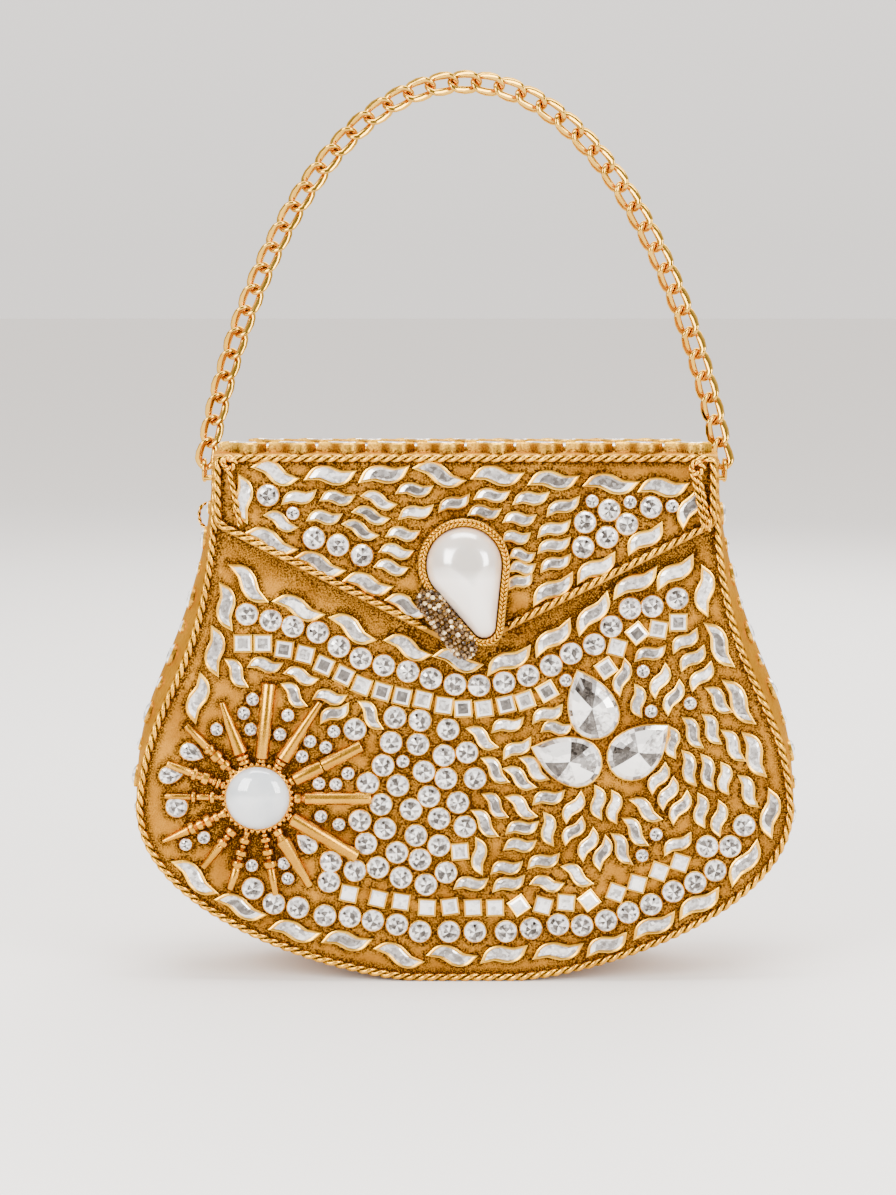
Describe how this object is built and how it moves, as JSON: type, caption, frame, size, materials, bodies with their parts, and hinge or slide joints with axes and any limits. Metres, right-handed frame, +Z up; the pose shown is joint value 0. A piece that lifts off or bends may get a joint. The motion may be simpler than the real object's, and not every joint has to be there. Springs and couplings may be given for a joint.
{
  "type": "kundan clutch bag",
  "caption": "Rigid gold kundan evening clutch with a pointed flap, pearl clasp over a magnetic snap, sunburst setting, edge ropes and a curb chain handle.",
  "frame": {"origin": "on the ground under the middle of the bag, at the flat underside of the gusset", "axes": "+X to the right seen from the front, +Y from the front to the back, +Z up, with the chain handle held up"},
  "size_m": [0.2032, 0.0665, 0.2778],
  "materials": {
    "antique_gold": "satin",
    "satin_gold": "satin",
    "cord_gold": "satin",
    "chain_gold": "polished",
    "snap_steel": "satin",
    "pearl": "gloss",
    "moonstone": "polished",
    "lining_cloth": "matte"
  },
  "bodies": {
    "shell": {"front_panel": "antique_gold", "back_panel": "antique_gold", "side_gusset": "satin_gold", "lining": "lining_cloth", "front_edge_cord": "cord_gold", "back_edge_cord": "cord_gold", "burst_cabochon": "moonstone", "hinge_pin": "snap_steel", "snap_socket": "snap_steel", "side_ring_left": "chain_gold", "side_ring_right": "chain_gold", "side_loop": "cord_gold"},
    "flap": {"flap": "antique_gold", "flap_edge_cord": "cord_gold", "clasp_frame": "cord_gold", "clasp_pearl": "pearl", "snap_stud": "snap_steel"},
    "chain_handle": {"chain_link_01": "chain_gold", "chain_link_02": "chain_gold", "chain_link_03": "chain_gold", "chain_link_04": "chain_gold", "chain_link_05": "chain_gold", "chain_link_06": "chain_gold", "chain_link_07": "chain_gold", "chain_link_08": "chain_gold", "chain_link_09": "chain_gold", "chain_link_10": "chain_gold", "chain_link_11": "chain_gold", "chain_link_12": "chain_gold", "chain_link_13": "chain_gold", "chain_link_14": "chain_gold", "chain_link_15": "chain_gold", "chain_link_16": "chain_gold", "chain_link_17": "chain_gold", "chain_link_18": "chain_gold", "chain_link_19": "chain_gold", "chain_link_20": "chain_gold", "chain_link_21": "chain_gold", "chain_link_22": "chain_gold", "chain_link_23": "chain_gold", "chain_link_24": "chain_gold", "chain_link_25": "chain_gold", "chain_link_26": "chain_gold", "chain_link_27": "chain_gold", "chain_link_28": "chain_gold", "chain_link_29": "chain_gold", "chain_link_30": "chain_gold", "chain_link_31": "chain_gold", "chain_link_32": "chain_gold", "chain_link_33": "chain_gold", "chain_link_34": "chain_gold", "chain_link_35": "chain_gold", "chain_link_36": "chain_gold", "chain_link_37": "chain_gold", "chain_link_38": "chain_gold", "chain_link_39": "chain_gold", "chain_link_40": "chain_gold", "chain_link_41": "chain_gold", "chain_link_42": "chain_gold", "chain_link_43": "chain_gold"}
  },
  "joints": [
    {"name": "flap_hinge", "type": "hinge", "parent": "shell", "child": "flap", "pos_m": [0, 0.0175, 0.1615], "axis": [-1, 0, 0], "range_deg": [0, 85]},
    {"name": "handle_swing", "type": "hinge", "parent": "shell", "child": "chain_handle", "pos_m": [0, 0.0225, 0.1534], "axis": [-1, 0, 0], "range_deg": [0, 135]}
  ]
}
